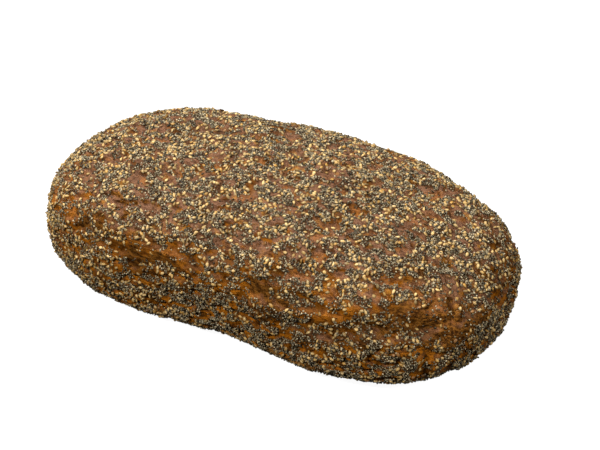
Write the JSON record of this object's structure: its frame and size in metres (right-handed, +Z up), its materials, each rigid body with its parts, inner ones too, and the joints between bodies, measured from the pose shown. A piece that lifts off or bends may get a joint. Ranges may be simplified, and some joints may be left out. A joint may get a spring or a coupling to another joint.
{
  "type": "multigrain bread",
  "caption": "Whole oval multigrain loaf with a flat base and a domed, lumpy brown crust rolled in sesame and poppy seeds.",
  "frame": {"origin": "on the surface that the loaf rests on, under the middle of its outline seen from above", "axes": "+X along the loaf, +Y across it away from the side with the waist, +Z up"},
  "size_m": [0.2931, 0.1641, 0.0843],
  "materials": {
    "crust": "baked brown crust, satin where bare",
    "sesame": "toasted pale golden seed, satin",
    "poppy": "slate grey seed, slight gloss"
  },
  "bodies": {
    "root": {"loaf": "crust"}
  },
  "joints": []
}
